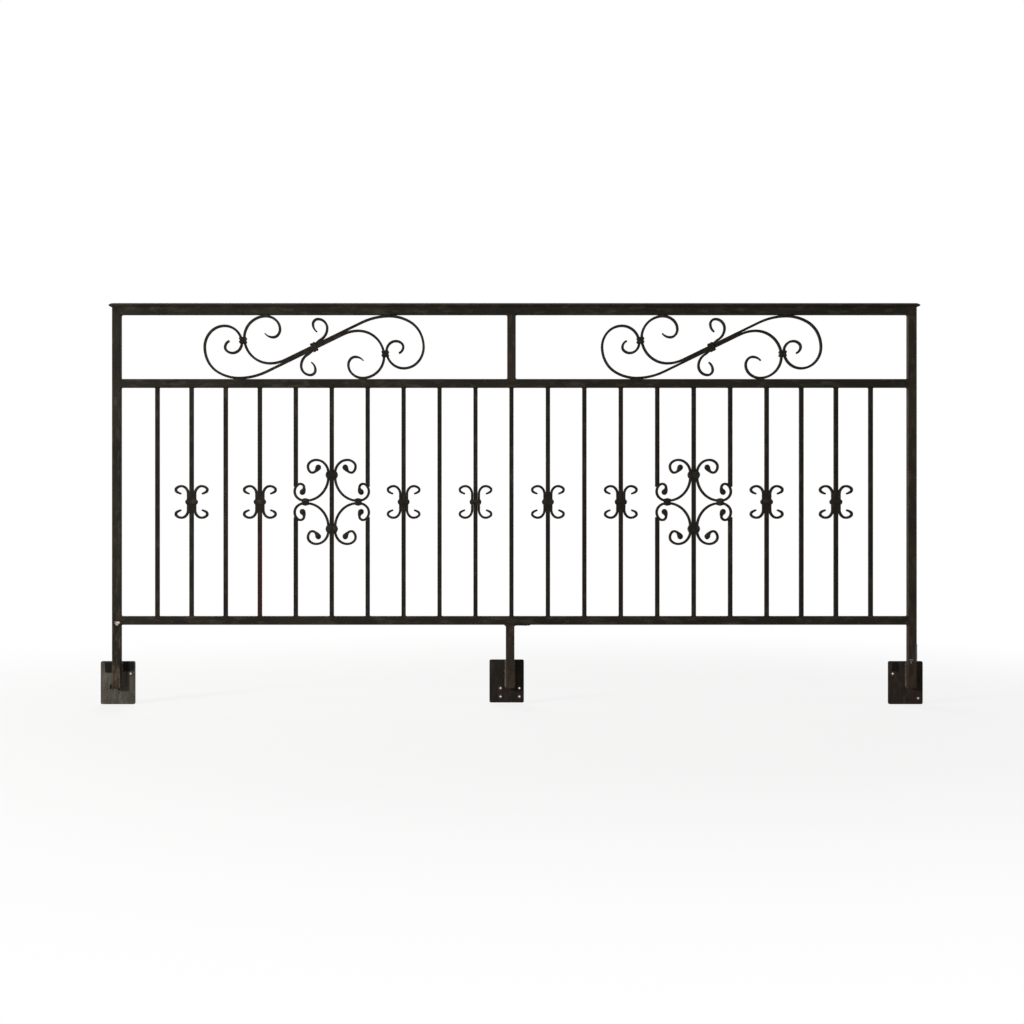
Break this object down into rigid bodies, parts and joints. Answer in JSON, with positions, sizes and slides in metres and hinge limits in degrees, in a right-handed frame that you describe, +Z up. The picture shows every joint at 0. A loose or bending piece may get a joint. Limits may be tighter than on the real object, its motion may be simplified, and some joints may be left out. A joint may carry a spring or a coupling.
{
  "type": "wrought iron railing",
  "caption": "Straight wrought iron railing with a capped top rail, a frieze of S-scrolls, square balusters with scroll and rosette ornaments, and fixing plates on its legs.",
  "frame": {"origin": "on the back face of the centre fixing plate, at the plate's mid height and below the middle of the frame", "axes": "+X along the railing to the right as seen in the picture, +Y backwards out of the plates to the slab that they are bolted to, +Z up"},
  "size_m": [2.4841, 0.0381, 1.2102],
  "materials": {
    "painted_tube": "brush-painted dark brown-black, satin, a little rust",
    "painted_bar": "brush-painted dark brown-black, satin",
    "painted_forging": "brush-painted dark brown-black over hammered iron",
    "painted_plate": "worn dark paint with rust near welds and holes"
  },
  "bodies": {
    "root": {"handrail_cap": "painted_tube", "top_rail": "painted_tube", "middle_rail": "painted_tube", "bottom_rail": "painted_tube", "left_post": "painted_tube", "right_post": "painted_tube", "frieze_divider": "painted_tube", "centre_leg": "painted_tube", "left_plate": "painted_plate", "centre_plate": "painted_plate", "right_plate": "painted_plate", "baluster_01": "painted_bar", "baluster_02": "painted_bar", "baluster_03": "painted_bar", "baluster_04": "painted_bar", "baluster_05": "painted_bar", "baluster_06": "painted_bar", "baluster_07": "painted_bar", "baluster_08": "painted_bar", "baluster_09": "painted_bar", "baluster_10": "painted_bar", "baluster_11": "painted_bar", "baluster_12": "painted_bar", "baluster_13": "painted_bar", "baluster_14": "painted_bar", "baluster_15": "painted_bar", "baluster_16": "painted_bar", "baluster_17": "painted_bar", "baluster_18": "painted_bar", "baluster_19": "painted_bar", "baluster_20": "painted_bar", "baluster_21": "painted_bar", "frieze_lower_scrolls": "painted_forging", "frieze_upper_scrolls": "painted_forging", "frieze_tendrils": "painted_forging", "frieze_collars": "painted_forging", "rosette_scrolls": "painted_forging", "rosette_collars": "painted_forging", "baluster_scrolls": "painted_forging", "baluster_collars": "painted_forging"}
  },
  "joints": []
}
